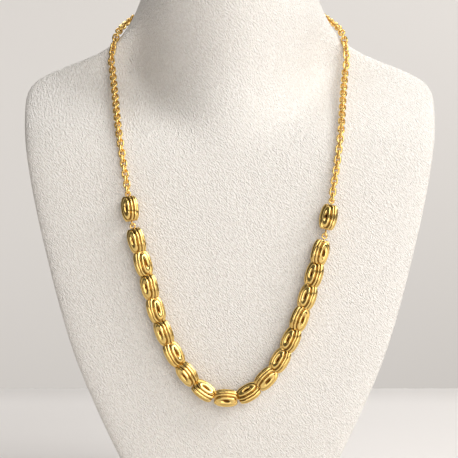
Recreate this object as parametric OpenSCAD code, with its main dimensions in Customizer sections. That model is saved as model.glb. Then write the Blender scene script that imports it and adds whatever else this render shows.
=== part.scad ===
// Gold bead necklace shown on a small neck bust.
// Millimetres, +Z up, the front faces -Y, the origin is the middle of the base.
// The string of ribbed beads, its two chains and the clasp form one closed loop
// that lies on the skin of the bust.

/* [Neck bust] */
// Height from the base to the top of the neck
bust_height = 225; // [220:1:230]
// Width across the shoulders
bust_width = 159; // [155:1:163]
// Depth scale of the chest and neck
depth_scale = 1; // [0.96:0.01:1.04]
// Radius of the chest's crosswise curve
chest_radius = 800; // [700:50:900]
// Thickness of the rolled front edge
edge_roll = 7; // [5:0.5:9]
// Rounding of the top edge of the neck
top_round = 4; // [2:0.5:6]
// Rounding of the edge of the base
base_round = 1.5; // [1:0.5:3]

/* [Beads] */
// Diameter over the ribs
bead_d = 6.3; // [5.8:0.1:6.5]
// Length of one bead
bead_len = 8.4; // [8.1:0.05:8.4]
// Distance from bead to bead along the string
bead_pitch = 8.65; // [8.65:0.05:8.85]
// Depth of the grooves between the ribs
groove_depth = 0.4; // [0.25:0.05:0.5]
// Width of one groove
groove_w = 0.36; // [0.28:0.02:0.42]
// Diameter of the drilled hole
bore_d = 1.1; // [1:0.05:1.2]

/* [Wires and loops] */
// Diameter of the string's wire and of the bead pins
wire_d = 0.6; // [0.5:0.05:0.6]
// Radius of a wire loop, to the middle of the wire
eye_radius = 0.9; // [0.85:0.05:1]
// Bare wire between a bead's end and its loop on the left
bare_left = 0.15; // [0:0.05:0.4]
// Bare wire between a bead's end and its loop on the right
bare_right = 0.8; // [0:0.05:0.9]

/* [Chain] */
// Outer length of a link
link_len = 3.55; // [3.5:0.05:3.65]
// Outer width of a link
link_w = 2.6; // [2.5:0.05:2.7]
// Thickness of a link's wire
link_wire = 0.62; // [0.56:0.02:0.64]
// Free play between two links
link_play = 0.13; // [0.12:0.01:0.2]
// Turn of the links about the chain
link_turn = 14; // [0:1:25]

/* [Clasp] */
// Length of the clasp's barrel
clasp_len = 7; // [6:0.5:8]
// Diameter of the clasp's barrel
clasp_d = 3; // [2.6:0.1:3.2]

/* [Hidden] */
// Sections of the bust from the base upwards, each row
// [height, half width, reach in front, reach behind], for the standard size
BUST_ROWS = [
    [0, 31, 39.5, 24],
    [20, 41.5, 40.5, 24],
    [39, 50.5, 41, 24],
    [58.5, 58.5, 41, 24],
    [78, 64.5, 40.6, 24],
    [97.5, 69.5, 39.8, 24],
    [117, 74, 38.2, 24],
    [136.5, 77.5, 35.8, 24],
    [148, 79, 33.8, 24],
    [155, 79.5, 32.5, 24],
    [159, 79, 31.9, 24],
    [162, 77.4, 31.6, 24],
    [165, 74, 31.5, 24],
    [168, 67.6, 31.7, 24.2],
    [171.5, 58.6, 32.2, 24.5],
    [174.5, 51.6, 32.8, 24.9],
    [177.5, 46.6, 33.4, 25.3],
    [180.5, 43.2, 34.1, 25.6],
    [184, 40.6, 34.9, 25.8],
    [188, 38.3, 35.8, 25.9],
    [193, 36.1, 36.9, 25.9],
    [199, 34.2, 38.1, 25.8],
    [206, 32.8, 39.3, 25.6],
    [214, 32, 40.4, 25.3],
    [225, 32, 41.6, 25]
];
STANDARD_HEIGHT = 225;
STANDARD_WIDTH = 159;
// Heights between which a round column grows out of the flat chest
COLUMN_FROM = 130;
COLUMN_TO = 174;
// Half width of the column, and how far it curves back over that width
COLUMN_HALF = 44;
COLUMN_DEPTH = 74;
// How far the column lies behind the chest below those heights, and how far the
// shoulders lie behind the column above them
COLUMN_SINK = 6;
SHELF_DROP = 29;
// Softness of the hollow where the column meets the chest
JOIN = 8;
// Heights between which that section turns into the oval neck
NECK_FROM = 176;
NECK_TO = 206;
// Section exponents of the chest's front and of its back
CHEST_POWER = 6.5;
BACK_POWER = 3.2;
// Widest plane of the neck, behind the origin
NECK_MIDDLE = 10;
// Faces round the front half and the back half of a section
FRONT_STEPS = 20;
BACK_STEPS = 12;
// Steps that round the base and the top edge
EDGE_STEPS = 3;
// Rows of the shoulders, which get a section halfway to the next row as well
SHOULDER_ROWS = [9 : 16];

high = bust_height / STANDARD_HEIGHT;
wide = bust_width / STANDARD_WIDTH;

// Course of the necklace over the chest, each row [side, height, lift],
// where side is to the right of the middle and lift is above the skin
LEFT_COURSE = [
    [-46, 172.5, 2.6],
    [-45.5, 165, 3.2],
    [-44, 155, 3.2],
    [-42, 143.5, 2.2],
    [-39.7, 131, 2],
    [-38.2, 122, 2.9],
    [-37.4, 114.5, 3.5],
    [-35, 103.3, 3.4],
    [-32.2, 94.6, 3.4],
    [-30, 86, 3.4],
    [-27.6, 77.4, 3.4],
    [-24.8, 68.8, 3.4],
    [-20.8, 60.6, 3.4],
    [-15.4, 52.2, 3.4],
    [-8.6, 45.9, 3.4]
];
BOTTOM = [-0.6, 43, 3.4];
RIGHT_COURSE = [
    [7.8, 46.6, 3.4],
    [14.2, 51.6, 3.4],
    [19, 58.8, 3.4],
    [22.8, 66, 3.4],
    [26, 73.8, 3.4],
    [28.9, 82, 3.4],
    [31.4, 90.2, 3.4],
    [33.6, 98.6, 3.4],
    [36, 107.5, 3.4],
    [37.6, 115.5, 3.4],
    [38.7, 123, 2.6],
    [40, 130.5, 1.8],
    [41.8, 142.5, 2.2],
    [43.4, 154.5, 3.2],
    [44.8, 165, 3.2],
    [45.4, 172.5, 2.6]
];
// Course round the neck, each row [heading, height, lift]: heading 0 looks to
// the front, 90 to the side and 180 to the back
NECK_COURSE = [
    [84, 180.5, 1.8],
    [96, 186.5, 1.7],
    [115, 190.2, 1.7],
    [147, 193, 1.7]
];
BACK = [180, 194, 1.95];

// Turn of each bead's ribs about the string, from the left end to the right,
// where a positive turn carries the middle of the ribs to the outside of the loop
BEAD_TURNS = [55, -60, 50, -55, 52, -65, 60, -75, 31, -75, 35, -50, -60, 48, -50, -62, 50];
LOOSE_BEAD_TURNS = [58, -50];

// Grooves of a bead, as shares of its radius from the middle plane
GROOVES = [0, 0.47, 0.755];
// A bead's crown is shaved flat past this share of its radius
CROWN = 0.95;
// Radius of the curve along a bead, as a share of its length
BARREL_SHARE = 0.95;
// Spacing of the beads, as shares of their pitch: they hang closer on the right
LEFT_SPREAD = 1.035;
BOTTOM_SPREAD = 1.12;
RIGHT_SPREAD = 1;
// How far the string has slipped along the loop to the left
STRING_SLIP = 0.9;

// Sides of the loops that the wires and links are made of
LINK_SIDES = 10;
LINK_WIRE_SIDES = 5;
THREAD_SIDES = 6;
// Clear space between two loops that pass through each other
LOOP_PLAY = 0.17;
// Clear space between a bead's end and the wire of the loop beside it
BEAD_PLAY = 0.05;
// How far the clasp's loops reach into its barrel
CLASP_JOIN = 0.1;
// Straight steps between two points of the course
COURSE_STEPS = 8;
// Steps in millimetres and in degrees over which a direction is measured
PROBE = 0.5;
PROBE_ANGLE = 1;

BEAD_NODES = ["bead_01", "bead_02", "bead_03", "bead_04", "bead_05", "bead_06",
    "bead_07", "bead_08", "bead_09", "bead_10", "bead_11", "bead_12", "bead_13",
    "bead_14", "bead_15", "bead_16", "bead_17"];
string_beads = len(BEAD_NODES);

// Small vector helpers
function unit(v) = v / norm(v);
function mix(a, b, t) = a + (b - a) * t;
function ease(t) = let(u = min(1, max(0, t))) u * u * (3 - 2 * u);
// The larger of two reaches, with a soft join where they are alike
function joined(a, b) = max(a, b) + pow(max(0, JOIN - abs(a - b)) / JOIN, 2) * JOIN / 4;

// Smooth curve through a column of the rows, at height z
function row_under(rows, z) =
    max([0, for (i = [0 : len(rows) - 2]) if (rows[i][0] <= z) i]);
function slope(rows, i, c) =
    let(a = rows[max(0, i - 1)], b = rows[min(len(rows) - 1, i + 1)]) (b[c] - a[c]) / (b[0] - a[0]);
function column(rows, z, c) =
    let(
        i = row_under(rows, z),
        a = rows[i],
        b = rows[i + 1],
        h = b[0] - a[0],
        t = (z - a[0]) / h,
        s = 1 - t
    )
    a[c] * s * s * (1 + 2 * t) + b[c] * t * t * (1 + 2 * s)
        + h * t * s * (s * slope(rows, i, c) - t * slope(rows, i + 1, c));

// How far the edge rounding of the base and the top pulls a section in
function edge_inset(z) =
    let(
        up = max(0, z - (bust_height - top_round)),
        down = max(0, base_round - z)
    )
    top_round - sqrt(max(0, top_round * top_round - up * up))
        + base_round - sqrt(max(0, base_round * base_round - down * down));

// One section of the bust:
// [half width, front, back, middle of the chest's section, neck share, column share]
function section(z) =
    let(
        s = min(STANDARD_HEIGHT, max(0, z / high)),
        w = column(BUST_ROWS, s, 1) * wide,
        front = column(BUST_ROWS, s, 2) * depth_scale,
        back = column(BUST_ROWS, s, 3) * depth_scale,
        neck = ease((s - NECK_FROM) / (NECK_TO - NECK_FROM)),
        rise = ease((s - COLUMN_FROM) / (COLUMN_TO - COLUMN_FROM)),
        chest_middle = edge_roll + w * w / (2 * chest_radius) - front + SHELF_DROP * rise,
        inset = edge_inset(z)
    )
    [w - inset, front - inset, back - inset, chest_middle, neck, rise];

// How far the chest's front reaches at x from the middle, before its edges are rolled
function front_reach(x, s) =
    let(
        shelf = s[1] - SHELF_DROP * s[5],
        column = s[1] - COLUMN_SINK * (1 - s[5]),
        across = x / (COLUMN_HALF * wide),
        round_part = column - COLUMN_DEPTH * (1 - sqrt(max(0, 1 - across * across)))
    )
    joined(shelf - x * x / (2 * chest_radius), round_part) + s[1] - joined(shelf, column);

// A point of the bust's skin at a heading from the front, at height z
function skin(heading, z) =
    let(
        s = section(z),
        u = sin(heading),
        x = s[0] * u,
        in_front = abs(heading) <= 90,
        power = in_front ? CHEST_POWER : BACK_POWER,
        fall = pow(max(0, 1 - pow(abs(u), power)), 1 / power),
        chest_reach = in_front ? -(s[3] + front_reach(x, s)) : s[2] - s[3],
        oval_reach = in_front ? -(NECK_MIDDLE + s[1]) : s[2] - NECK_MIDDLE,
        chest_y = s[3] + chest_reach * fall,
        oval_y = NECK_MIDDLE + oval_reach * sqrt(max(0, 1 - u * u))
    )
    [x, mix(chest_y, oval_y, s[4]), z];

// The skin's outward direction there
function outward(heading, z) =
    unit(cross(
        skin(heading + PROBE_ANGLE, z) - skin(heading - PROBE_ANGLE, z),
        skin(heading, z + PROBE) - skin(heading, z - PROBE)));

// A row of the course as [point, outward direction]
function lifted(heading, z, lift) =
    let(n = outward(heading, z)) [skin(heading, z) + n * lift, n];
function on_chest(row) =
    let(
        z = row[1] * high,
        half = section(z)[0],
        heading = asin(max(-0.999, min(0.999, row[0] * wide / half)))
    )
    lifted(heading, z, row[2]);
function on_neck(row, side) = lifted(side * row[0], row[1] * high, row[2]);

neck_left = [for (i = [len(NECK_COURSE) - 1 : -1 : 0]) on_neck(NECK_COURSE[i], -1)];
neck_right = [for (row = NECK_COURSE) on_neck(row, 1)];
course = concat(
    [on_neck(BACK, 1)],
    neck_left,
    [for (row = LEFT_COURSE) on_chest(row)],
    [on_chest(BOTTOM)],
    [for (row = RIGHT_COURSE) on_chest(row)],
    neck_right
);
bottom_index = 1 + len(NECK_COURSE) + len(LEFT_COURSE);

// The closed course as a smooth curve of short straight steps
function turn_at(list, i) = list[(i + len(list)) % len(list)];
function smooth_at(i, t, part) =
    let(
        a = turn_at(course, i - 1)[part],
        b = turn_at(course, i)[part],
        c = turn_at(course, i + 1)[part],
        d = turn_at(course, i + 2)[part]
    )
    0.5 * (2 * b + (c - a) * t + (2 * a - 5 * b + 4 * c - d) * t * t
        + (3 * b - a - 3 * c + d) * t * t * t);
function fine(part) =
    [for (i = [0 : len(course)], k = [0 : COURSE_STEPS - 1])
        if (i < len(course) || k == 0) smooth_at(i, k / COURSE_STEPS, part)];
line = fine(0);
facing = fine(1);
steps = [for (i = [1 : len(line) - 1]) norm(line[i] - line[i - 1])];
reached = [for (i = 0, s = 0; i < len(line); s = s + (i < len(steps) ? steps[i] : 0), i = i + 1) s];
loop_length = reached[len(line) - 1];
bottom_s = reached[bottom_index * COURSE_STEPS] - STRING_SLIP;
function table_of(list, axis) = [for (i = [0 : len(list) - 1]) [reached[i], list[i][axis]]];
line_tables = [for (axis = [0 : 2]) table_of(line, axis)];
facing_tables = [for (axis = [0 : 2]) table_of(facing, axis)];
function wrapped(s) = s < 0 ? s + loop_length : s > loop_length ? s - loop_length : s;
function at(s) = [for (axis = [0 : 2]) lookup(wrapped(s), line_tables[axis])];
function facing_at(s) = unit([for (axis = [0 : 2]) lookup(wrapped(s), facing_tables[axis])]);

// A frame on the loop between two places: [middle, along, across, out]
function frame_between(s0, s1) =
    let(
        a = at(s0),
        b = at(s1),
        along = unit(b - a),
        n = facing_at((s0 + s1) / 2),
        out = unit(n - along * (n * along))
    )
    [(a + b) / 2, along, cross(out, along), out];

// The frame turned about its own direction
function turned(f, angle) =
    [f[0], f[1], f[2] * cos(angle) + f[3] * sin(angle), f[3] * cos(angle) - f[2] * sin(angle)];
// Moves x to out, y to across and z to along
module in_frame(f) {
    multmatrix([
        [f[3][0], f[2][0], f[1][0], f[0][0]],
        [f[3][1], f[2][1], f[1][1], f[0][1]],
        [f[3][2], f[2][2], f[1][2], f[0][2]],
        [0, 0, 0, 1]
    ]) children();
}

// Places along the loop, from the clasp down the left side
middle_bead = (string_beads - 1) / 2;
function string_joint(i) =
    i <= middle_bead
        ? bottom_s - bead_pitch * (BOTTOM_SPREAD / 2 + (middle_bead - i) * LEFT_SPREAD)
        : bottom_s + bead_pitch * (BOTTOM_SPREAD / 2 + (i - middle_bead - 1) * RIGHT_SPREAD);
end_gap_left = (bead_pitch * LEFT_SPREAD - bead_len) / 2;
end_gap_right = (bead_pitch * RIGHT_SPREAD - bead_len) / 2;
eye_reach = eye_radius + wire_d / 2 + BEAD_PLAY;
eye_step = 2 * (eye_radius - wire_d / 2) - LOOP_PLAY;
pin_half_left = bead_len / 2 + eye_reach + bare_left;
pin_half_right = bead_len / 2 + eye_reach + bare_right;
string_eye_left = string_joint(0) + end_gap_left - eye_reach - bare_left;
string_eye_right = string_joint(string_beads) - end_gap_right + eye_reach + bare_right;
loose_left = string_eye_left - eye_step - pin_half_left;
loose_right = string_eye_right + eye_step + pin_half_right;
link_round = link_w / 2 - link_wire / 2;
link_straight = link_len / 2 - link_w / 2;
link_reach = link_straight + link_round * cos(180 / LINK_SIDES);
eye_to_link = eye_radius - wire_d / 2 - link_wire / 2 - LOOP_PLAY + link_reach;
clasp_eye = clasp_len / 2 + eye_radius - CLASP_JOIN;
chain_left_from = clasp_eye + eye_to_link;
chain_left_to = loose_left - pin_half_left - eye_to_link;
chain_right_from = loose_right + pin_half_right + eye_to_link;
chain_right_to = loop_length - clasp_eye - eye_to_link;
longest_pitch = 2 * link_reach - link_wire - link_play;
// An odd number of links, so that both end links lie the same way
function odd_up(n) = let(up = ceil(n)) up % 2 == 0 ? up + 1 : up;
function link_count(from, to) = odd_up((to - from) / longest_pitch + 1);

// Bust
function ring(z) = concat(
    [for (i = [0 : FRONT_STEPS - 1]) skin(-90 + 180 * i / FRONT_STEPS, z)],
    [for (i = [0 : BACK_STEPS - 1]) skin(90 + 180 * i / BACK_STEPS, z)]
);
row_heights = [for (row = BUST_ROWS) row[0] * high];
between_heights = [for (i = SHOULDER_ROWS) (row_heights[i] + row_heights[i + 1]) / 2];
function round_heights(radius, from, way) =
    [for (k = [0 : EDGE_STEPS]) from + way * radius * sin(90 * k / EDGE_STEPS)];
function sorted(list) =
    len(list) < 2 ? list :
    let(p = list[0], rest = [for (i = [1 : len(list) - 1]) list[i]])
    concat(
        sorted([for (v = rest) if (v < p) v]),
        [p],
        sorted([for (v = rest) if (v > p) v]));
heights = sorted(concat(
    [for (z = row_heights) if (z > base_round + 1 && z < bust_height - top_round - 1) z],
    between_heights,
    round_heights(base_round, base_round, -1),
    round_heights(top_round, bust_height - top_round, 1)
));

module neck_bust() {
    sides = FRONT_STEPS + BACK_STEPS;
    last = (len(heights) - 1) * sides;
    points = [for (z = heights) each ring(z)];
    faces = concat(
        [[for (i = [0 : sides - 1]) i]],
        [for (r = [0 : len(heights) - 2], i = [0 : sides - 1])
            let(j = (i + 1) % sides, a = r * sides)
            each [[a + i, a + sides + i, a + sides + j], [a + i, a + sides + j, a + j]]],
        [[for (i = [sides - 1 : -1 : 0]) last + i]]
    );
    color("whitesmoke") polyhedron(points, faces);
}

// Beads: barrels with round ends, whose ribs are left standing between straight cuts
module barrel(radius, length) {
    curve = BARREL_SHARE * length;
    rotate_extrude($fn = 96) intersection() {
        translate([radius - curve, 0]) circle(curve, $fn = 360);
        circle(length / 2, $fn = 360);
        translate([0, -length / 2]) square([radius, length]);
    }
}

module bead_cuts(radius) {
    tall = bead_len + 2;
    for (share = GROOVES, side = [-1, 1])
        if (share > 0 || side > 0)
            translate([side * share * radius, 0, 0])
                cube([groove_w, 3 * radius, tall], center = true);
    for (side = [-1, 1])
        translate([side * (CROWN + 0.5) * radius, 0, 0])
            cube([radius, 3 * radius, tall], center = true);
}

module ribbed_bead() {
    radius = bead_d / 2;
    difference() {
        union() {
            difference() {
                barrel(radius, bead_len);
                bead_cuts(radius);
            }
            barrel(radius - groove_depth, bead_len - groove_depth);
        }
        cylinder(d = bore_d, h = bead_len + 2, center = true, $fn = 48);
    }
}

module string_bead(i) {
    place = frame_between(string_joint(i), string_joint(i + 1));
    color("gold") in_frame(turned(place, BEAD_TURNS[i])) ribbed_bead();
}

module loose_bead(s, half, turn) {
    color("gold") in_frame(turned(frame_between(s - half, s + half), turn)) ribbed_bead();
}

// Wires: a pin through a loose bead, and the wire through the string
module eye(radius, wire) {
    rotate([90, 0, 0]) rotate_extrude($fn = 72) translate([radius, 0]) circle(d = wire, $fn = 36);
}

module bead_pin(s, half, first_turn, last_turn) {
    shaft = 2 * (half - eye_radius);
    color("gold") in_frame(frame_between(s - half, s + half)) {
        cylinder(d = wire_d, h = shaft, center = true, $fn = 36);
        translate([0, 0, -half]) rotate([0, 0, first_turn]) eye(eye_radius, wire_d);
        translate([0, 0, half]) rotate([0, 0, last_turn]) eye(eye_radius, wire_d);
    }
}

// Rings of points joined into one skin, open as a tube or closed as a loop
function tube_faces(rings, sides, closed) = concat(
    closed ? [] : [[for (i = [0 : sides - 1]) i]],
    [for (r = [0 : rings - (closed ? 1 : 2)], i = [0 : sides - 1])
        let(j = (i + 1) % sides, a = r * sides, b = ((r + 1) % rings) * sides)
        each [[a + i, b + i, b + j], [a + i, b + j, a + j]]],
    closed ? [] : [[for (i = [sides - 1 : -1 : 0]) (rings - 1) * sides + i]]
);

thread_joints = [for (i = [0 : string_beads]) at(string_joint(i))];
thread_start = string_eye_left + eye_radius;
thread_end = string_eye_right - eye_radius;
thread_points = concat(
    [at(thread_start)],
    [for (i = [1 : string_beads - 1]) thread_joints[i]],
    [at(thread_end)]
);
function thread_ring(i) =
    let(
        n = len(thread_points),
        before = thread_points[max(0, i - 1)],
        after = thread_points[min(n - 1, i + 1)],
        along = unit(after - before),
        side = unit(cross(along, [0, 1, 0])),
        up = cross(along, side)
    )
    [for (k = [0 : THREAD_SIDES - 1])
        let(a = 360 * (k + 0.5) / THREAD_SIDES)
        thread_points[i] + wire_d / 2 * (side * cos(a) + up * sin(a))];

module string_wire() {
    left = frame_between(string_eye_left - PROBE, string_eye_left + PROBE);
    right = frame_between(string_eye_right - PROBE, string_eye_right + PROBE);
    color("gold") {
        polyhedron(
            [for (i = [0 : len(thread_points) - 1]) each thread_ring(i)],
            tube_faces(len(thread_points), THREAD_SIDES, false));
        in_frame(turned(left, 90)) eye(eye_radius, wire_d);
        in_frame(turned(right, 90)) eye(eye_radius, wire_d);
    }
}

// Chain: oval links, each turned a quarter against the one before
function link_outline(k) =
    let(
        a = 360 * (k + 0.5) / LINK_SIDES,
        shift = cos(a) > 0 ? link_straight : -link_straight
    )
    [link_round * sin(a), link_round * cos(a) + shift];
function link_points(f) =
    [for (k = [0 : LINK_SIDES - 1])
        let(
            here = link_outline(k),
            step = unit(link_outline(k + 1) - link_outline(k - 1)),
            away = [step[1], -step[0]]
        )
        for (m = [0 : LINK_WIRE_SIDES - 1])
            let(
                b = 360 * m / LINK_WIRE_SIDES,
                flat_part = here + away * cos(b) * link_wire / 2
            )
            f[0] + f[2] * flat_part[0] + f[1] * flat_part[1] + f[3] * sin(b) * link_wire / 2];

module chain(from, to) {
    count = link_count(from, to);
    pitch = (to - from) / (count - 1);
    size = LINK_SIDES * LINK_WIRE_SIDES;
    one = tube_faces(LINK_SIDES, LINK_WIRE_SIDES, true);
    places = [for (i = [0 : count - 1])
        let(s = from + i * pitch)
        turned(frame_between(s - pitch / 2, s + pitch / 2), link_turn + ((i + 1) % 2) * 90)];
    color("gold") polyhedron(
        [for (f = places) each link_points(f)],
        [for (i = [0 : count - 1]) each [for (f = one) [for (v = f) v + i * size]]]);
}

// Clasp: a plain barrel with a loop at each end
module clasp() {
    curve = 2 * clasp_len;
    color("gold") in_frame(frame_between(-clasp_eye, clasp_eye)) {
        rotate_extrude($fn = 72) intersection() {
            translate([clasp_d / 2 - curve, 0]) circle(curve, $fn = 360);
            translate([0, -clasp_len / 2]) square([clasp_d, clasp_len]);
        }
        for (side = [-1, 1])
            translate([0, 0, side * clasp_eye]) rotate([0, 0, 90 - link_turn]) eye(eye_radius, wire_d);
    }
}

neck_bust();
for (i = [0 : string_beads - 1])
    string_bead(i);
loose_bead(loose_left, pin_half_left, LOOSE_BEAD_TURNS[0]);  // loose_bead_left
loose_bead(loose_right, pin_half_right, LOOSE_BEAD_TURNS[1]);  // loose_bead_right
bead_pin(loose_left, pin_half_left, 90, 0);  // bead_pin_left
bead_pin(loose_right, pin_half_right, 0, 90);  // bead_pin_right
string_wire();
chain(chain_left_from, chain_left_to);  // chain_left
chain(chain_right_from, chain_right_to);  // chain_right
clasp();
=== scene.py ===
# %% [markdown]
# # Gold bead necklace on a small neck bust
# A jeweller's display in two materials: a bust covered in white leatherette, and a necklace of gold plated
# beads, wires and chain. The parts come in finished from the model's own file, each at its real size and in
# its real place, so nothing here moves or resizes them. Every step either gives a part its surface, or makes
# a finer piece that stands for a plain part.

# %% Load the parts
import math

import bmesh
import bpy
import numpy as np
from mathutils import Matrix, Vector


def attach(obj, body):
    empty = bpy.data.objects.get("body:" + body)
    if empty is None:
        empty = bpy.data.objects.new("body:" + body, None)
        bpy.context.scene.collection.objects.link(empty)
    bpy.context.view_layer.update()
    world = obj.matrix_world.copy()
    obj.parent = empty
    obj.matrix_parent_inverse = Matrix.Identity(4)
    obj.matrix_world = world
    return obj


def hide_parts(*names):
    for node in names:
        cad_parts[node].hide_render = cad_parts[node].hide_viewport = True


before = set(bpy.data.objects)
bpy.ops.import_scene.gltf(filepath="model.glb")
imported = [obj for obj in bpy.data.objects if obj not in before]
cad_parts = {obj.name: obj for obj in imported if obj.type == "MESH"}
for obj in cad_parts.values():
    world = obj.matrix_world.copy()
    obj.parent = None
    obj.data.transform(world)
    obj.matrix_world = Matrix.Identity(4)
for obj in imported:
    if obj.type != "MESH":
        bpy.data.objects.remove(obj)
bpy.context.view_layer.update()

MM = 0.001
scene = bpy.context.scene

# %% [markdown]
# ## Three small helpers
# Colours are picked in sRGB, as a screen shows them, while Blender's sockets take linear light, so one
# function converts them. A second one adds a node to any tree, whether it makes a material or a shape.
# The third gives a finished piece its material, tells the frame which body carries it, and hides the plain
# part that it stands for.

# %% Colours, nodes and pieces
def paint(hex_code):
    """A hex colour as the linear RGBA that a socket takes."""
    shares = [int(hex_code[i:i + 2], 16) / 255 for i in (1, 3, 5)]
    return (*[s / 12.92 if s <= 0.04045 else ((s + 0.055) / 1.055) ** 2.4 for s in shares], 1.0)


def add(tree, kind, inputs=(), **settings):
    """Adds a node with its settings. Each input is given a value, or linked to a node or a socket."""
    node = tree.nodes.new(kind)
    for name, value in settings.items():
        setattr(node, name, value)
    for socket, value in dict(inputs).items():
        if isinstance(value, bpy.types.Node):
            value = value.outputs[0]
        if isinstance(value, bpy.types.NodeSocket):
            tree.links.new(value, node.inputs[socket])
        else:
            node.inputs[socket].default_value = value
    return node


def hand_over(piece, node, material):
    """Gives a finished piece its material, hangs it under the root body, and hides the plain part that it
    stands for.
    """
    piece.data.materials.clear()
    piece.data.materials.append(material)
    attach(piece, "root")
    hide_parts(node)


print("a screen's mid grey as linear light", round(paint("#808080")[0], 3))

# %% [markdown]
# ## The camera
# The bust fills the picture, cut off above the neck and below the chest, and its lines hardly converge. That
# is a long lens from less than a metre away, looking down by three degrees. The bust's width sets the scale
# of the picture, and the lens follows from that scale and the distance.

# %% Camera
# The picture's width, the column in which the bust's middle lies, and the scale there
PICTURE_PX = 458
MIDDLE_COLUMN_PX = 229.8
MM_PER_PX = 0.39
# The point that the picture is centred on, in millimetres before the bust's origin and above the table
AIM_FORWARD, AIM_HEIGHT = 10, 105.7
DISTANCE = 750 * MM
LOOK_DOWN = math.radians(3)
SENSOR = 36.0
aim_aside = (PICTURE_PX / 2 - MIDDLE_COLUMN_PX) * MM_PER_PX
aim = Vector((aim_aside, -AIM_FORWARD, AIM_HEIGHT)) * MM
seen_width = PICTURE_PX * MM_PER_PX * MM
camera = bpy.data.objects.new("camera", bpy.data.cameras.new("camera"))
camera.data.sensor_width = SENSOR
camera.data.lens = SENSOR * DISTANCE / seen_width
camera.location = aim + DISTANCE * Vector((0, -math.cos(LOOK_DOWN), math.sin(LOOK_DOWN)))
camera.rotation_euler = (math.pi / 2 - LOOK_DOWN, 0, 0)
scene.collection.objects.link(camera)
scene.camera = camera
print("lens in mm", round(camera.data.lens, 1))

# %% [markdown]
# ## Table and wall
# The bust stands on a pale table that ends 31 cm behind it, in front of a plain wall that is far off. Both
# are plain boxes in matt paint, because they only give the light something to fall on. A painted shade
# darkens the table towards its far edge, where the light falls off, so that table and wall meet in a soft
# line, as they do out of focus.

# %% Table and wall
def slab(name, low, high, bevel):
    """A box between two corners in metres, with rounded edges."""
    mesh = bpy.data.meshes.new(name)
    shape = bmesh.new()
    bmesh.ops.create_cube(shape, size=1)
    size = Vector(high) - Vector(low)
    bmesh.ops.scale(shape, vec=size, verts=shape.verts)
    bmesh.ops.translate(shape, vec=(Vector(low) + Vector(high)) / 2, verts=shape.verts)
    bmesh.ops.bevel(shape, geom=shape.edges, offset=bevel, segments=4, affect="EDGES", profile=0.5)
    shape.to_mesh(mesh)
    shape.free()
    piece = bpy.data.objects.new(name, mesh)
    scene.collection.objects.link(piece)
    return piece


def plain_paint(name, hex_code, roughness):
    """Matt paint for what isn't part of the object."""
    material = bpy.data.materials.new(name)
    material.use_nodes = True
    shader = material.node_tree.nodes["Principled BSDF"]
    shader.inputs["Base Color"].default_value = paint(hex_code)
    shader.inputs["Roughness"].default_value = roughness
    return material


# Corners in metres, and the stretch before the table's far edge over which a painted shade darkens it
TABLE_END = 0.312
TABLE_SHADE_FADE = 0.075
TABLE_CORNERS = (-1.4, -1.1, -0.03), (1.4, TABLE_END, 0)
WALL_CORNERS = (-4, 2.4, -2), (4, 2.5, 3)
TABLE_NEAR, TABLE_FAR_SHADED, WALL_COLOUR = "#EFEBE8", "#DFDBD8", "#DCD8D4"

table = slab("table", *TABLE_CORNERS, bevel=0.004)
table_paint = plain_paint("table_paint", TABLE_NEAR, roughness=0.6)
tree = table_paint.node_tree
place = add(tree, "ShaderNodeSeparateXYZ", {0: add(tree, "ShaderNodeTexCoord").outputs["Object"]})
# Painted shade: the table's colour darkens towards its far edge, where the light falls off
fall = add(tree, "ShaderNodeMapRange", {"Value": place.outputs["Y"], "From Min": TABLE_END - TABLE_SHADE_FADE,
                                        "From Max": TABLE_END}, interpolation_type="SMOOTHSTEP")
painted_falloff = add(tree, "ShaderNodeMix", {"Factor": fall, "A": paint(TABLE_NEAR), "B": paint(TABLE_FAR_SHADED)},
             data_type="RGBA")
tree.links.new(painted_falloff.outputs["Result"], tree.nodes["Principled BSDF"].inputs["Base Color"])
table.data.materials.append(table_paint)
wall = slab("wall", *WALL_CORNERS, bevel=0.01)
wall.data.materials.append(plain_paint("wall_paint", WALL_COLOUR, roughness=0.9))
print("table ends at", round(TABLE_END * 1000), "mm, the wall stands at", WALL_CORNERS[0][1], "m")

# %% [markdown]
# ## Light
# A studio lights such a display with softboxes. A key light high on the right leaves the left of the neck in
# shade, a wide panel and a low strip fill from the front, a weak lamp hangs above, and three more light
# mostly the table and the wall. The room itself is dim: polished gold shows what is around it, and without
# dark stretches it would look flat.

# %% Lights
def soft_light(name, place, target, width, height, watts, colour="#FFFFFF"):
    """A rectangular softbox that looks at a target."""
    lamp = bpy.data.lights.new(name, "AREA")
    lamp.shape = "RECTANGLE"
    lamp.size = width
    lamp.size_y = height
    lamp.energy = watts
    lamp.color = paint(colour)[:3]
    holder = bpy.data.objects.new(name, lamp)
    holder.location = place
    holder.rotation_euler = (Vector(target) - Vector(place)).to_track_quat("-Z", "Y").to_euler()
    scene.collection.objects.link(holder)


# Each lamp's place and target in metres, its width, height and watts, and its colour
CHEST = (0, 0, 0.12)
FRONT_WHITE, WALL_WHITE = "#FFFEFC", "#FFFEFD"
soft_light("key_right", (0.80, -0.33, 0.78), CHEST, 0.5, 0.5, 5.9, FRONT_WHITE)
soft_light("panel_front", (0.65, -1.3, 0.8), CHEST, 1.3, 0.8, 10.6, FRONT_WHITE)
soft_light("strip_low", (0.1, -1.2, 0.12), (0, 0, 0.08), 1.0, 0.2, 2.1, FRONT_WHITE)
soft_light("top", (0.1, -0.15, 1.0), CHEST, 0.7, 0.5, 0.9)
soft_light("table_back", (0.0, 0.6, 0.9), (-0.1, 0.1, 0), 1.4, 0.2, 4.3)
soft_light("wall_right", (1.3, 1.2, 1.0), (0.9, 2.4, 0.35), 1.5, 0.8, 20.5, WALL_WHITE)
soft_light("wall_low", (-0.6, 1.0, 0.1), (0, 2.4, 0.2), 2.0, 0.5, 14.0, WALL_WHITE)

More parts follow.
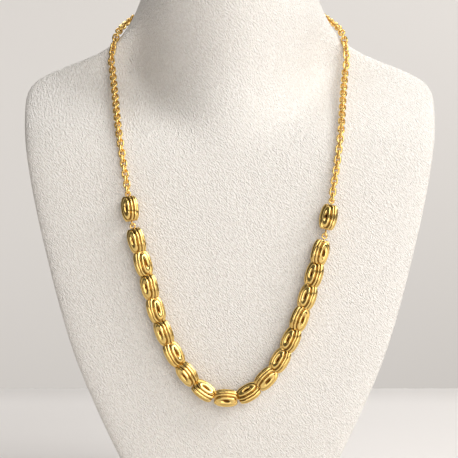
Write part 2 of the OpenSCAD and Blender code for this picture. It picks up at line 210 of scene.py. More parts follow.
ROOM_COLOUR, ROOM_GLOW = "#F4EFE8", 0.165
world = bpy.data.worlds.new("room")
world.use_nodes = True
background = world.node_tree.nodes["Background"]
background.inputs["Color"].default_value = paint(ROOM_COLOUR)
background.inputs["Strength"].default_value = ROOM_GLOW
scene.world = world
scene.view_settings.view_transform = "Standard"
print("watts in all", round(sum(lamp.energy for lamp in bpy.data.lights), 1))

# %% [markdown]
# ## White embossed leatherette
# The bust is covered in PU leatherette: a soft white plastic skin on a fabric backing, embossed by a steel
# roller. To the eye it is a matt, slightly warm white, with a fine grain that light from the side picks out.
# The roller leaves short slanting ridges about 0.6 mm apart and 1.4 mm long, with pores between them. One by
# one they would take millions of faces, so a noise pattern stretched along a slanting line bumps the surface
# instead. It is read from the bust's own UV map, which is in millimetres along its skin, so the grain turns
# the corners with the material.

# %% Leatherette
MATH = "ShaderNodeMath"
# The ridges, in millimetres and as an angle on the skin, and how deep they are drawn to show at this size
GRAIN_APART = 0.6
GRAIN_LONG = 1.4
GRAIN_SLANT = math.radians(-48)
EMBOSS = 0.33
# How much more than the pores the ridges count, and how many pores and patches of sheen a millimetre holds
RIDGE_WEIGHT = 1.5
PORES_PER_MM = 2.4
PATCHES_PER_MM = 0.03
# The skin's two tones, the lower one darker as painted shade in the grain's valleys, the heights of the grain
# that they stand for, and its roughness
SKIN_VALLEY_SHADED, SKIN_HIGH = "#EEE8E1", "#FAF6F1"
GRAIN_LOW, GRAIN_HIGH = 0.9, 1.6
SKIN_GLOSSY, SKIN_MATT = 0.5, 0.62

leatherette = bpy.data.materials.new("leatherette_white_embossed")
leatherette.use_nodes = True
tree = leatherette.node_tree
shader = tree.nodes["Principled BSDF"]
skin_mm = add(tree, "ShaderNodeUVMap", uv_map="skin_mm")
slanted = add(tree, "ShaderNodeMapping", {"Vector": skin_mm, "Rotation": (0, 0, -GRAIN_SLANT)})
ridges_at = add(tree, "ShaderNodeVectorMath", {0: slanted, 1: (1 / GRAIN_LONG, 1 / GRAIN_APART, 1)},
                operation="MULTIPLY")
ridges = add(tree, "ShaderNodeTexNoise", {"Vector": ridges_at, "Scale": 1.0, "Detail": 1.0},
             noise_dimensions="2D")
pores = add(tree, "ShaderNodeTexNoise", {"Vector": skin_mm, "Scale": PORES_PER_MM, "Detail": 0.0},
            noise_dimensions="2D")
grain = add(tree, MATH, {0: ridges, 1: RIDGE_WEIGHT, 2: pores.outputs[0]}, operation="MULTIPLY_ADD")
bump = add(tree, "ShaderNodeBump", {"Height": grain, "Strength": 1.0, "Distance": EMBOSS * MM})
patches = add(tree, "ShaderNodeTexNoise", {"Vector": skin_mm, "Scale": PATCHES_PER_MM, "Detail": 2.0},
              noise_dimensions="2D")
height = add(tree, "ShaderNodeMapRange", {"Value": grain, "From Min": GRAIN_LOW, "From Max": GRAIN_HIGH})
# Painted shade: the skin's colour is darker in the grain's valleys than on its ridges
skin_colour = add(tree, "ShaderNodeMix", {"Factor": height, "A": paint(SKIN_VALLEY_SHADED), "B": paint(SKIN_HIGH)},
                  data_type="RGBA")
rough = add(tree, "ShaderNodeMapRange", {"Value": patches, "To Min": SKIN_GLOSSY, "To Max": SKIN_MATT})
tree.links.new(skin_colour.outputs["Result"], shader.inputs["Base Color"])
tree.links.new(bump.outputs[0], shader.inputs["Normal"])
tree.links.new(rough.outputs[0], shader.inputs["Roughness"])
print("leatherette nodes", len(tree.nodes))

# %% [markdown]
# ## The neck bust
# The real bust is a moulded form with the leatherette pulled over it. Its shape follows a rule: each level
# has a half width and a reach to the front and the back, and between the flat chest and the oval neck one
# kind of section turns into the other. Carving it from a box would take many cuts, and a loft through many
# levels gives a far smoother skin, from a short table of levels.

# %% Section rule of the bust
# Level, half width, reach in front and reach behind, in millimetres
LEVELS = np.array([
    [0, 31, 39.5, 24], [20, 41.5, 40.5, 24], [39, 50.5, 41, 24], [58.5, 58.5, 41, 24], [78, 64.5, 40.6, 24],
    [97.5, 69.5, 39.8, 24], [117, 74, 38.2, 24], [136.5, 77.5, 35.8, 24], [148, 79, 33.8, 24],
    [155, 79.5, 32.5, 24], [159, 79, 31.9, 24], [162, 77.4, 31.6, 24], [165, 74, 31.5, 24],
    [168, 67.6, 31.7, 24.2], [171.5, 58.6, 32.2, 24.5], [174.5, 51.6, 32.8, 24.9], [177.5, 46.6, 33.4, 25.3],
    [180.5, 43.2, 34.1, 25.6], [184, 40.6, 34.9, 25.8], [188, 38.3, 35.8, 25.9], [193, 36.1, 36.9, 25.9],
    [199, 34.2, 38.1, 25.8], [206, 32.8, 39.3, 25.6], [214, 32, 40.4, 25.3], [225, 32, 41.6, 25]])
# Heights between which the neck's column comes forward out of the chest, its half width, and how far it
# falls back from its front to its sides
COLUMN_FROM, COLUMN_TO = 130, 174
COLUMN_HALF, COLUMN_DEPTH = 44, 74
# How far the column starts inside the chest, how far the chest drops back beside it, and the width of the
# soft join between them
COLUMN_SINK, SHELF_DROP, JOIN = 6, 29, 8
# Heights between which the section turns into the neck's oval, and how far the oval's middle lies back
NECK_FROM, NECK_TO = 176, 206
NECK_MIDDLE = 10
# Powers of the rounded section in front and behind: the higher, the squarer
CHEST_POWER, BACK_POWER = 6.5, 3.2
# Radius of the chest's slight curve across it, and depth of the roll at its sides
CHEST_RADIUS = 800
EDGE_ROLL = 7
# Radii of the edges round the top and the foot
TOP_ROUND, BASE_ROUND = 4.0, 1.5
HEIGHT = LEVELS[-1, 0]


def smooth_column(z, column):
    """A smooth curve through one column of the table, at height z."""
    heights, values = LEVELS[:, 0], LEVELS[:, column]
    i = int(np.clip(np.searchsorted(heights, z, side="right") - 1, 0, len(heights) - 2))
    slopes = [(values[min(k + 1, len(values) - 1)] - values[max(k - 1, 0)])
              / (heights[min(k + 1, len(values) - 1)] - heights[max(k - 1, 0)]) for k in (i, i + 1)]
    h = heights[i + 1] - heights[i]
    t = (z - heights[i]) / h
    s = 1 - t
    return (values[i] * s * s * (1 + 2 * t) + values[i + 1] * t * t * (1 + 2 * s)
            + h * t * s * (s * slopes[0] - t * slopes[1]))


def ease(t):
    """A smooth step from 0 to 1."""
    t = min(1.0, max(0.0, t))
    return t * t * (3 - 2 * t)


def joined(a, b):
    """The larger of two reaches, with a soft join where they are alike."""
    near = np.clip(JOIN - np.abs(a - b), 0, None) / JOIN
    return np.maximum(a, b) + near ** 2 * JOIN / 4


def bust_level(z, headings):
    """Points in millimetres round the bust at height z, one for each heading in degrees."""
    up = max(0.0, z - (HEIGHT - TOP_ROUND))
    down = max(0.0, BASE_ROUND - z)
    inset = (TOP_ROUND - math.sqrt(TOP_ROUND ** 2 - up ** 2)
             + BASE_ROUND - math.sqrt(BASE_ROUND ** 2 - down ** 2))
    width, front, back = [smooth_column(z, column) for column in (1, 2, 3)]
    neck = ease((z - NECK_FROM) / (NECK_TO - NECK_FROM))
    rise = ease((z - COLUMN_FROM) / (COLUMN_TO - COLUMN_FROM))
    shelf, column = front - SHELF_DROP * rise, front - COLUMN_SINK * (1 - rise)
    u = np.sin(np.radians(headings))
    x = (width - inset) * u
    middle = EDGE_ROLL + width ** 2 / (2 * CHEST_RADIUS) - shelf
    flat = shelf - x ** 2 / (2 * CHEST_RADIUS)
    column_fall = 1 - np.sqrt(np.clip(1 - (x / COLUMN_HALF) ** 2, 0, 1))
    chest = joined(flat, column - COLUMN_DEPTH * column_fall) + front - joined(shelf, column)
    in_front = np.abs(headings) <= 90
    power = np.where(in_front, CHEST_POWER, BACK_POWER)
    fall = np.clip(1 - np.abs(u) ** power, 0, 1) ** (1 / power)
    chest_reach = np.where(in_front, inset - middle - chest, back - inset - middle)
    chest_y = middle + chest_reach * fall
    oval_reach = np.where(in_front, inset - NECK_MIDDLE - front, back - inset - NECK_MIDDLE)
    oval_y = NECK_MIDDLE + oval_reach * np.sqrt(np.clip(1 - u ** 2, 0, 1))
    return np.column_stack([x, chest_y + (oval_y - chest_y) * neck, np.full_like(x, z)])


print("half width at the shoulders", round(float(bust_level(155, np.array([90.0]))[0, 0]), 1), "mm")

# %% [markdown]
# ## Rings for the loft
# A loft is a stack of rings with faces between each two neighbours. The rings crowd where the edge of the top
# and of the foot bends, and their points crowd at the sides, so that no bend shows corners.

# %% Rings of the bust
FRONT_COLUMNS, BACK_COLUMNS = 88, 48
LEVEL_STEP = 2.5
ROUND_STEPS = 6
# How far the points crowd towards the sides, from 0 to 1, and the least gap below the top's bend
CROWDING = 0.6
LAST_GAP = 1


def eased_headings(start, columns):
    """Headings over half a turn, closer together at both ends, where the skin turns sharply."""
    t = np.arange(columns) / columns
    return start + 180 * (t - CROWDING * np.sin(2 * np.pi * t) / (2 * np.pi))


headings = np.concatenate([eased_headings(-90, FRONT_COLUMNS), eased_headings(90, BACK_COLUMNS)])
bends = np.sin(np.linspace(0, math.pi / 2, ROUND_STEPS + 1))
levels = np.concatenate([
    BASE_ROUND - BASE_ROUND * bends[::-1],
    np.arange(BASE_ROUND + LEVEL_STEP, HEIGHT - TOP_ROUND - LAST_GAP, LEVEL_STEP),
    HEIGHT - TOP_ROUND + TOP_ROUND * bends])
rings = [bust_level(float(z), headings) for z in levels]
print("rings", len(rings), "of", len(headings), "points")

# %% [markdown]
# ## The bust's skin
# Unwrapping by hand would stretch the grain, so each face gets its place on the UV map while it is made: how
# far it lies along the skin from the middle of the chest, and how high, both in millimetres. Two flat caps
# close the foot and the top.

# %% Loft the bust
columns = len(headings)
bust_mesh = bpy.data.meshes.new("neck_bust_skin")
shape = bmesh.new()
grid = [[shape.verts.new(Vector(point) * MM) for point in ring] for ring in rings]
skin_uv = shape.loops.layers.uv.new("skin_mm")
front_column = FRONT_COLUMNS // 2
for r in range(len(rings) - 1):
    walked = []
    for ring in (rings[r], rings[r + 1]):
        steps = np.linalg.norm(np.roll(ring, -1, axis=0) - ring, axis=1)
        reached = np.concatenate([[0], np.cumsum(steps)])
        walked.append(reached - reached[front_column])
    for c in range(columns):
        after = (c + 1) % columns
        face = shape.faces.new((grid[r][c], grid[r][after], grid[r + 1][after], grid[r + 1][c]))
        face.smooth = True
        corners = ((0, c), (0, c + 1), (1, c + 1), (1, c))
        for loop, (k, step) in zip(face.loops, corners):
            loop[skin_uv].uv = (walked[k][step], levels[r + k])
for ring, height in ((grid[0][::-1], levels[0]), (grid[-1], levels[-1])):
    cap = shape.faces.new(ring)
    for loop in cap.loops:
        loop[skin_uv].uv = (loop.vert.co.x / MM, height + loop.vert.co.y / MM)
shape.to_mesh(bust_mesh)
shape.free()
bust = bpy.data.objects.new("neck_bust_skin", bust_mesh)
scene.collection.objects.link(bust)
hand_over(bust, "neck_bust", leatherette)
print("bust faces", len(bust_mesh.polygons))

# %% [markdown]
# ## Gold
# Plated brass is a metal, so its colour is the colour of its reflection. The beads were cut with a diamond
# tool, which leaves the ribs bright. The cuts between them are given a painted shade: their gold is painted
# deeper in colour and less bright, for the dark reflections that they hold. The wires and links are drawn and
# tumbled: smooth, with a softer shine, and their gold is painted a little darker than the ribs' as painted
# shade. One function makes both golds, because they differ only in this darker tone, in shine and in the
# cuts.

# %% Plated gold
# Where the plate is deepest and palest on cut ribs and on drawn wire, the wire's pair painted darker as
# painted shade, and the painted shade down in the cuts
RIB_GOLD = "#FFD77C", "#FFE294"
# The wire's pair is the ribs' gold painted darker, as painted shade
WIRE_GOLD_SHADED = "#EEC674", "#F8D688"
GROOVE_SHADE_GOLD = "#743E04"
# Size of the polishing marks and of the patches of tone, and depth of the marks, in millimetres
SCRATCH, PATCH, SCRATCH_DEPTH = 0.25, 4, 0.01
# The values that Blender's noise mostly keeps between, and how far the roughness strays to either side
NOISE_LOW, NOISE_HIGH = 0.3, 0.7
GLOSS_SPREAD = 0.25


def plated_gold(name, tones, roughness, cut):
    """Polished gold plate. Where cut is set, the grooves between ribs get a painted shade, deeper in colour.
    """
    material = bpy.data.materials.new(name)
    material.use_nodes = True
    tree = material.node_tree
    shader = tree.nodes["Principled BSDF"]
    shader.inputs["Metallic"].default_value = 1.0
    place = add(tree, "ShaderNodeTexCoord").outputs["Object"]
    wear = add(tree, "ShaderNodeTexNoise", {"Vector": place, "Scale": 1 / (SCRATCH * MM), "Detail": 3.0})
    patches = add(tree, "ShaderNodeTexNoise", {"Vector": place, "Scale": 1 / (PATCH * MM), "Detail": 2.0})
    gloss = add(tree, "ShaderNodeMapRange", {"Value": wear, "From Min": NOISE_LOW, "From Max": NOISE_HIGH,
                                             "To Min": roughness * (1 - GLOSS_SPREAD),
                                             "To Max": roughness * (1 + GLOSS_SPREAD)})
    warmth = add(tree, "ShaderNodeMix", {"Factor": patches, "A": paint(tones[0]), "B": paint(tones[1])},
                 data_type="RGBA")
    colour = warmth.outputs["Result"]
    if cut:
        # Painted shade: down in the grooves the gold is mixed towards a deep brown
        groove = add(tree, "ShaderNodeAttribute", attribute_name="groove", attribute_type="GEOMETRY")
        groove_shade = add(tree, "ShaderNodeMix", {"Factor": groove.outputs["Fac"], "A": colour,
                                           "B": paint(GROOVE_SHADE_GOLD)}, data_type="RGBA")
        colour = groove_shade.outputs["Result"]
    bump = add(tree, "ShaderNodeBump", {"Height": wear, "Strength": 0.25, "Distance": SCRATCH_DEPTH * MM})
    tree.links.new(colour, shader.inputs["Base Color"])
    tree.links.new(gloss.outputs[0], shader.inputs["Roughness"])
    tree.links.new(bump.outputs[0], shader.inputs["Normal"])
    return material


cut_gold = plated_gold("gold_plate_diamond_cut", RIB_GOLD, roughness=0.1, cut=True)
# Painted shade: the wires and links take a darker copy of the same gold
wire_gold = plated_gold("gold_plate_drawn_wire", WIRE_GOLD_SHADED, roughness=0.16, cut=False)
print("gold nodes", len(cut_gold.node_tree.nodes), "on cut ribs,", len(wire_gold.node_tree.nodes), "on wire")

# %% [markdown]
# ## Two helpers for Geometry Nodes
# A tree is built once, with named inputs for its sizes. Running it on a mesh gives a live result, which is
# then frozen into a plain mesh, so that the finished piece carries no modifier.

# %% Build and run a tree
def new_tree(name, sizes):
    """A Geometry Nodes tree with named inputs, and its two end nodes."""
    tree = bpy.data.node_groups.new(name, "GeometryNodeTree")
    tree.interface.new_socket("Geometry", in_out="INPUT", socket_type="NodeSocketGeometry")
    for label, kind in sizes.items():
        tree.interface.new_socket(label, in_out="INPUT", socket_type=kind)
    tree.interface.new_socket("Geometry", in_out="OUTPUT", socket_type="NodeSocketGeometry")
    return tree, tree.nodes.new("NodeGroupInput"), tree.nodes.new("NodeGroupOutput")


def grow(name, tree, values, mesh=None):
    """Runs a tree on a mesh and returns what it makes as a plain mesh object."""
    piece = bpy.data.objects.new(name, mesh or bpy.data.meshes.new(name))
    scene.collection.objects.link(piece)
    modifier = piece.modifiers.new("grow", "NODES")
    modifier.node_group = tree
    sockets = {item.name: item.identifier for item in tree.interface.items_tree if item.in_out == "INPUT"}
    for label, value in values.items():
        modifier[sockets[label]] = value
    graph = bpy.context.evaluated_depsgraph_get()
    result = bpy.data.meshes.new_from_object(piece.evaluated_get(graph), depsgraph=graph)
    piece.modifiers.remove(modifier)
    piece.data = result
    return piece


# %% [markdown]
# ## The ribbed beads
# Each bead starts as a plain drilled barrel. A diamond cutter then takes curved slices off its sides, which
# leave bright crescents nested round a slit, and this pattern is called a moon cut. Cutting each slice with a
# boolean would leave sharp, broken edges. A ball lying on its side has its rings in the right places instead:
# each ring becomes one long oval round the slit, and the rings that fall between two ribs are pressed
# inwards. The next cells build that tree step by step.

# %% Rules of the cut
# Middle and half width of each rib, as angles from the pole of the ovals, where a slit lies
RIBS = [(20, 15), (47, 13), (74, 14)]
RIB_ROUNDNESS = 1.9
# Power of the barrel's outline, how far it would run on past the flat ends, and how far the cuts bend with it
OUTLINE_POWER = 2.4
RUN_ON = 1.2
BEND = 0.6
# The least size that a ring counts as, so that nothing is divided by nought
TINY = 1e-5


def other_side(tree, long_side, short_side):
    """The second short side of a right triangle."""
    long_square = add(tree, MATH, {0: long_side, 1: long_side}, operation="MULTIPLY")
    short_square = add(tree, MATH, {0: short_side, 1: short_side}, operation="MULTIPLY")
    rest = add(tree, MATH, {0: long_square, 1: short_square}, operation="SUBTRACT")
    kept = add(tree, MATH, {0: rest, 1: 0.0}, operation="MAXIMUM")
    return add(tree, MATH, {0: kept}, operation="SQRT")


def outline_share(tree, share):
    """How far the barrel's outline is out one way, as a share, where it is at a share of the other way."""
    raised = add(tree, MATH, {0: share, 1: OUTLINE_POWER}, operation="POWER")
    rest = add(tree, MATH, {0: 1.0, 1: raised}, operation="SUBTRACT")
    kept = add(tree, MATH, {0: rest, 1: 0.0}, operation="MAXIMUM")
    return add(tree, MATH, {0: kept, 1: 1 / OUTLINE_POWER}, operation="POWER")


print("ribs between a slit and the bead's middle line", len(RIBS))

# %% [markdown]
# ## The ball that becomes a bead
# The ball's poles lie on X, where the slits will be, and the bead's axis stands on Z. Each point of the ball
# keeps two shares: how near it is to the pole, which tells its oval, and how far it lies along that oval.

# %% A ball on its side
FLOAT, INT, SHADE = "NodeSocketFloat", "NodeSocketInt", "NodeSocketMaterial"
bead_tree, given, made = new_tree("ribbed_bead", {
    "Radius": FLOAT, "Half Length": FLOAT, "Groove Depth": FLOAT, "Bore": FLOAT, "Ovals": INT, "Steps": INT,
    "Material": SHADE})
g = given.outputs
ball = add(bead_tree, "GeometryNodeMeshUVSphere", {"Segments": g["Steps"], "Rings": g["Ovals"],
                                                   "Radius": 1.0})
lying = add(bead_tree, "GeometryNodeTransform", {"Geometry": ball, "Rotation": (0, math.pi / 2, 0)})
at = add(bead_tree, "ShaderNodeSeparateXYZ", {0: add(bead_tree, "GeometryNodeInputPosition")}).outputs
round_ring = other_side(bead_tree, 1.0, at["X"])
some_ring = add(bead_tree, MATH, {0: round_ring, 1: TINY}, operation="MAXIMUM")
along_share = add(bead_tree, MATH, {0: at["Z"], 1: some_ring}, operation="DIVIDE")
pole_share = add(bead_tree, MATH, {0: at["X"]}, operation="ABSOLUTE")
print("bead tree nodes so far", len(bead_tree.nodes))

# %% [markdown]
# ## From rings to ovals
# A ring close to the pole is a short oval and the ring round the middle reaches from end to end. The barrel's
# outline says how far each one reaches, and again how wide the barrel is at every place along it. Past the
# bead's ends the points are held at the flat end faces.

# %% Draw the rings out along the bead
tip_share = add(bead_tree, MATH, {0: pole_share, 1: 1 / (1 - BEND)}, operation="POWER")
reach_share = outline_share(bead_tree, tip_share)
here_share = add(bead_tree, MATH, {0: reach_share, 1: along_share}, operation="MULTIPLY")
whole_half = add(bead_tree, MATH, {0: g["Half Length"], 1: RUN_ON}, operation="MULTIPLY")
run_along = add(bead_tree, MATH, {0: here_share, 1: whole_half}, operation="MULTIPLY")
other_end = add(bead_tree, MATH, {0: 0.0, 1: g["Half Length"]}, operation="SUBTRACT")
along = add(bead_tree, "ShaderNodeClamp", {"Value": run_along, "Min": other_end, "Max": g["Half Length"]})
end_share = add(bead_tree, MATH, {0: here_share}, operation="ABSOLUTE")
radius_share = outline_share(bead_tree, end_share)
radius_there = add(bead_tree, MATH, {0: radius_share, 1: g["Radius"]}, operation="MULTIPLY")
print("bead tree nodes so far", len(bead_tree.nodes))

# %% [markdown]
# ## Curved cuts
# Flat cuts would give straight ribs. The cutter's path bows, so each oval lies in a cut that bends with the
# barrel's outline, and its half width is what the barrel's radius leaves beside the cut.

# %% Bend the cuts and round the barrel
bend_share = add(bead_tree, MATH, {0: radius_share, 1: BEND}, operation="POWER")
cut_share = add(bead_tree, MATH, {0: at["X"], 1: bend_share}, operation="MULTIPLY")
cut = add(bead_tree, MATH, {0: cut_share, 1: g["Radius"]}, operation="MULTIPLY")
half_width = other_side(bead_tree, radius_there, cut)
across_sign = add(bead_tree, MATH, {0: at["Y"]}, operation="SIGN")
across = add(bead_tree, MATH, {0: half_width, 1: across_sign}, operation="MULTIPLY")
print("bead tree nodes so far", len(bead_tree.nodes))

# %% [markdown]
# ## Ribs and grooves
# Every rib has a top at its own angle from the pole, and away from it the surface falls to the bottom of the
# groove. The fall is kept as an attribute too, so that the gold down in the cuts can take a painted shade,
# deeper in colour. The groove takes the same depth off the radius and off the half length.

# %% Press the grooves in
pole_angle = add(bead_tree, MATH, {0: pole_share}, operation="ARCCOSINE")
turn = add(bead_tree, MATH, {0: pole_angle}, operation="DEGREES")
groove = 1.0
for middle, half in RIBS:
    off_top = add(bead_tree, MATH, {0: turn, 1: middle}, operation="SUBTRACT")
    share_off = add(bead_tree, MATH, {0: off_top, 1: half}, operation="DIVIDE")
    size_off = add(bead_tree, MATH, {0: share_off}, operation="ABSOLUTE")
    rib = add(bead_tree, MATH, {0: size_off, 1: RIB_ROUNDNESS}, operation="POWER")
    groove = add(bead_tree, MATH, {0: groove, 1: rib}, operation="MINIMUM")
depth = add(bead_tree, MATH, {0: groove, 1: g["Groove Depth"]}, operation="MULTIPLY")
left_over = {}
for size in ("Radius", "Half Length"):
    loss = add(bead_tree, MATH, {0: depth, 1: g[size]}, operation="DIVIDE")
    left_over[size] = add(bead_tree, MATH, {0: 1.0, 1: loss}, operation="SUBTRACT")
barrel_point = add(bead_tree, "ShaderNodeCombineXYZ", {"X": cut, "Y": across, "Z": along})
shrink = add(bead_tree, "ShaderNodeCombineXYZ", {"X": left_over["Radius"], "Y": left_over["Radius"],
                                                 "Z": left_over["Half Length"]})
cut_point = add(bead_tree, "ShaderNodeVectorMath", {0: barrel_point, 1: shrink}, operation="MULTIPLY")
# The groove share is kept for the painted shade that the gold takes down in the cuts
marked = add(bead_tree, "GeometryNodeStoreNamedAttribute",
             {"Geometry": lying, "Name": "groove", "Value": groove}, data_type="FLOAT", domain="POINT")
shaped = add(bead_tree, "GeometryNodeSetPosition", {"Geometry": marked, "Position": cut_point})
print("bead tree nodes so far", len(bead_tree.nodes))

# %% [markdown]
# ## The hole for the wire
# Real beads are drilled from end to end. A cylinder that is longer than the bead is taken out of it, and the
# tree ends by giving the bead smooth shading and its gold.

# %% Drill the bead and finish its tree
DRILL_SIDES = 24
# The drill's length in half lengths of the bead, more than two, so that it comes out at both ends
DRILL_HALVES = 3.0
drill_length = add(bead_tree, MATH, {0: g["Half Length"], 1: DRILL_HALVES}, operation="MULTIPLY")
drill = add(bead_tree, "GeometryNodeMeshCylinder", {"Vertices": DRILL_SIDES, "Radius": g["Bore"],
                                                    "Depth": drill_length})
drilled = add(bead_tree, "GeometryNodeMeshBoolean", {"Mesh 1": shaped, "Mesh 2": drill},
              operation="DIFFERENCE", solver="MANIFOLD")
smooth = add(bead_tree, "GeometryNodeSetShadeSmooth", {"Geometry": drilled, "Shade Smooth": True})
finish = add(bead_tree, "GeometryNodeSetMaterial", {"Geometry": smooth, "Material": g["Material"]})
bead_tree.links.new(add(bead_tree, "GeometryNodeRealizeInstances", {0: finish}).outputs[0], made.inputs[0])
print("bead tree nodes", len(bead_tree.nodes))

# %% [markdown]
# ## Where each bead lies
# The beads on the real string turn as they like, and no two show the same side. The plain part tells where a
# bead is: its middle, the line that it is drilled along, and the direction that its cuts face, which is where
# most of its flat faces look. Reading these from the part keeps both models in step.

# %% Places of the beads
# The share of its angle from the front that a pole keeps: the real cuts face the viewer more than the part's
POLE_SHARE = 0.45
TOWARDS_VIEWER = np.array([0.0, -1.0, 0.0])


def part_faces(node):
    """Middle, area and direction of every face of a part."""
    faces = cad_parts[node].data.polygons
    middles, areas, normals = [np.empty(len(faces) * k) for k in (3, 1, 3)]
    faces.foreach_get("center", middles)
    faces.foreach_get("area", areas)
    faces.foreach_get("normal", normals)
    return middles.reshape(-1, 3), areas, normals.reshape(-1, 3)


def bead_place(node):
    """A matrix from a bead that stands on its axis, with the pole of its ovals on X, to its place."""
    middles, areas, normals = part_faces(node)
    centre = (middles * areas[:, None]).sum(0) / areas.sum()
    spread = ((middles - centre) * areas[:, None]).T @ (middles - centre)
    axis = np.linalg.eigh(spread)[1][:, 2]
    flat = normals - np.outer(normals @ axis, axis)
    pole = np.linalg.eigh((flat * areas[:, None]).T @ flat)[1][:, 2]
    pole = pole - (pole @ axis) * axis
    front = Vector(TOWARDS_VIEWER - (TOWARDS_VIEWER @ axis) * axis).normalized()
    pole = Vector(pole * np.sign(pole @ np.array(front))).normalized()
    off_front = math.atan2(front.cross(pole).dot(Vector(axis)), front.dot(pole))
    pole = np.array(Matrix.Rotation(off_front * POLE_SHARE, 3, Vector(axis)) @ front)
    turn = np.column_stack([pole, np.cross(axis, pole), axis])
    place = Matrix(turn.tolist()).to_4x4()
    place.translation = Vector(centre)
    return place


bead_nodes = sorted(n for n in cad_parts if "bead" in n and "pin" not in n)
places = {node: bead_place(node) for node in bead_nodes}
print("beads found", len(places))

# %% [markdown]
# ## Make the beads
# Beads on a string nest into each other, so each one reaches a little past the middle between it and its
# neighbour. Where the string bends, two end faces would meet at their rims first, which shortens both beads a
# little. The loose beads have no neighbour near and keep their whole length.

# %% Grow and place the beads
BEAD = {"Radius": 3.35 * MM, "Groove Depth": 0.68 * MM, "Bore": 0.55 * MM, "Ovals": 96, "Steps": 64}
LONGEST_HALF = 4.65 * MM
END_RADIUS = 1.5 * MM
NESTING = 0.3 * MM
for node, place in places.items():
    half_length = LONGEST_HALF
    for other in places.values():
        gap = (place.translation - other.translation).length / 2
        if other is place or gap > LONGEST_HALF + END_RADIUS:
            continue
        tilt = min(place.col[2].angle(other.col[2]), place.col[2].angle(-other.col[2])) / 2
        half_length = min(half_length, (gap - END_RADIUS * math.sin(tilt)) / math.cos(tilt) + NESTING)
    sizes = {**BEAD, "Half Length": half_length, "Material": cut_gold}
    piece = grow("ribbed_" + node, bead_tree, sizes)
    piece.data.transform(place)
    hand_over(piece, node, cut_gold)
print("beads", len(bead_nodes), "faces in one", len(piece.data.polygons))

# %% [markdown]
# ## The chain
# Cable chain is made of oval links bent from round wire, each passed through the one before and turned by a
# quarter. A torus stretched by a modifier would have thick ends, so one link is drawn as a circle whose two
# halves are pulled apart, and is then given the wire's thickness.

# %% Tree of one link
chain_tree, given, made = new_tree("cable_chain", {
    "Link Length": FLOAT, "Link Width": FLOAT, "Wire": FLOAT, "Bends": INT, "Wire Sides": INT,
    "Material": SHADE})
g = given.outputs
wire_radius = add(chain_tree, MATH, {0: g["Wire"], 1: 0.5}, operation="MULTIPLY")
half_width = add(chain_tree, MATH, {0: g["Link Width"], 1: 0.5}, operation="MULTIPLY")
bend_radius = add(chain_tree, MATH, {0: half_width, 1: wire_radius}, operation="SUBTRACT")
slack = add(chain_tree, MATH, {0: g["Link Length"], 1: g["Link Width"]}, operation="SUBTRACT")
straight = add(chain_tree, MATH, {0: slack, 1: 0.5}, operation="MULTIPLY")
circle = add(chain_tree, "GeometryNodeCurvePrimitiveCircle", {"Resolution": g["Bends"],
                                                              "Radius": bend_radius})
at = add(chain_tree, "ShaderNodeSeparateXYZ", {0: add(chain_tree, "GeometryNodeInputPosition")}).outputs
end = add(chain_tree, MATH, {0: at["Y"]}, operation="SIGN")
shift = add(chain_tree, MATH, {0: end, 1: straight}, operation="MULTIPLY")
pull = add(chain_tree, "ShaderNodeCombineXYZ", {"Y": shift})
oval = add(chain_tree, "GeometryNodeSetPosition", {"Geometry": circle, "Offset": pull})
wire = add(chain_tree, "GeometryNodeCurvePrimitiveCircle", {"Resolution": g["Wire Sides"],
                                                            "Radius": wire_radius})
link = add(chain_tree, "GeometryNodeCurveToMesh", {"Curve": oval, "Profile Curve": wire})
print("link nodes", len(chain_tree.nodes))

# %% [markdown]
# ## From one link to a chain
# The link is set on every point of a small mesh. Each point carries two directions, the one that its link
# runs along and the one that it faces, and Axes to Rotation turns them into the link's turn.

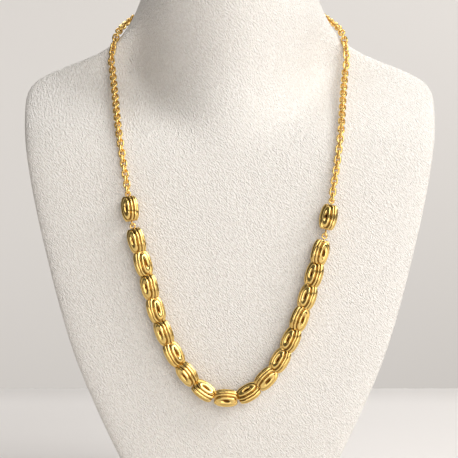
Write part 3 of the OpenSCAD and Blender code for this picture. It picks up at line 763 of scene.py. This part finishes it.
# %% Tree of the chain
along = add(chain_tree, "GeometryNodeInputNamedAttribute", {"Name": "along"}, data_type="FLOAT_VECTOR")
facing = add(chain_tree, "GeometryNodeInputNamedAttribute", {"Name": "facing"}, data_type="FLOAT_VECTOR")
turn = add(chain_tree, "FunctionNodeAxesToRotation", {"Primary Axis": along, "Secondary Axis": facing},
           primary_axis="Y", secondary_axis="Z")
links = add(chain_tree, "GeometryNodeInstanceOnPoints", {"Points": g["Geometry"], "Instance": link,
                                                         "Rotation": turn})
real = add(chain_tree, "GeometryNodeRealizeInstances", {0: links})
smooth = add(chain_tree, "GeometryNodeSetShadeSmooth", {"Geometry": real, "Shade Smooth": True})
finish = add(chain_tree, "GeometryNodeSetMaterial", {"Geometry": smooth, "Material": g["Material"]})
chain_tree.links.new(finish.outputs[0], made.inputs[0])
print("chain tree nodes", len(chain_tree.nodes))

# %% [markdown]
# ## Where each link lies
# The plain chain is one part with many loose links in it. Walking from a corner to all that it is joined to
# finds one link at a time. The line that its corners spread along most is its length, and the line that they
# spread along least is where it faces. The new links are a little sturdier than the plain ones, which have to
# stay clear of each other, so neighbours touch as real ones do.

# %% Places of the links
LINK = {"Link Length": 3.85 * MM, "Link Width": 3.0 * MM, "Wire": 0.82 * MM, "Bends": 20, "Wire Sides": 8}


def link_places(node):
    """A mesh with a point in the middle of each link, which knows where the link runs and faces."""
    shape = bmesh.new()
    shape.from_mesh(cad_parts[node].data)
    bmesh.ops.remove_doubles(shape, verts=shape.verts, dist=0.001 * MM)
    seen = set()
    rows = []
    for corner in shape.verts:
        if corner in seen:
            continue
        seen.add(corner)
        found = [corner]
        for vert in found:
            for edge in vert.link_edges:
                other = edge.other_vert(vert)
                if other not in seen:
                    seen.add(other)
                    found.append(other)
        points = np.array([v.co for v in found])
        centre = points.mean(0)
        directions = np.linalg.eigh(np.cov((points - centre).T))[1]
        rows.append((centre, directions[:, 2], directions[:, 0]))
    shape.free()
    mesh = bpy.data.meshes.new(node + "_places")
    mesh.from_pydata([row[0] for row in rows], [], [])
    for label, column in (("along", 1), ("facing", 2)):
        values = np.array([row[column] for row in rows], np.float32)
        mesh.attributes.new(label, "FLOAT_VECTOR", "POINT").data.foreach_set("vector", values.ravel())
    return mesh


for node in ("chain_left", "chain_right"):
    points = link_places(node)
    piece = grow("linked_" + node, chain_tree, {**LINK, "Material": wire_gold}, points)
    hand_over(piece, node, wire_gold)
    print(node, "links", len(points.vertices), "faces", len(piece.data.polygons))

# %% [markdown]
# ## Wires and clasp
# The wires through the beads and the plain clasp behind the neck already have their true round shapes, so
# they stay as they are and only take the gold.

# %% Finish the wires and the clasp
for node in ("string_wire", "bead_pin_left", "bead_pin_right", "clasp"):
    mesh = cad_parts[node].data
    mesh.materials.clear()
    mesh.materials.append(wire_gold)
    print(node, "faces", len(mesh.polygons))
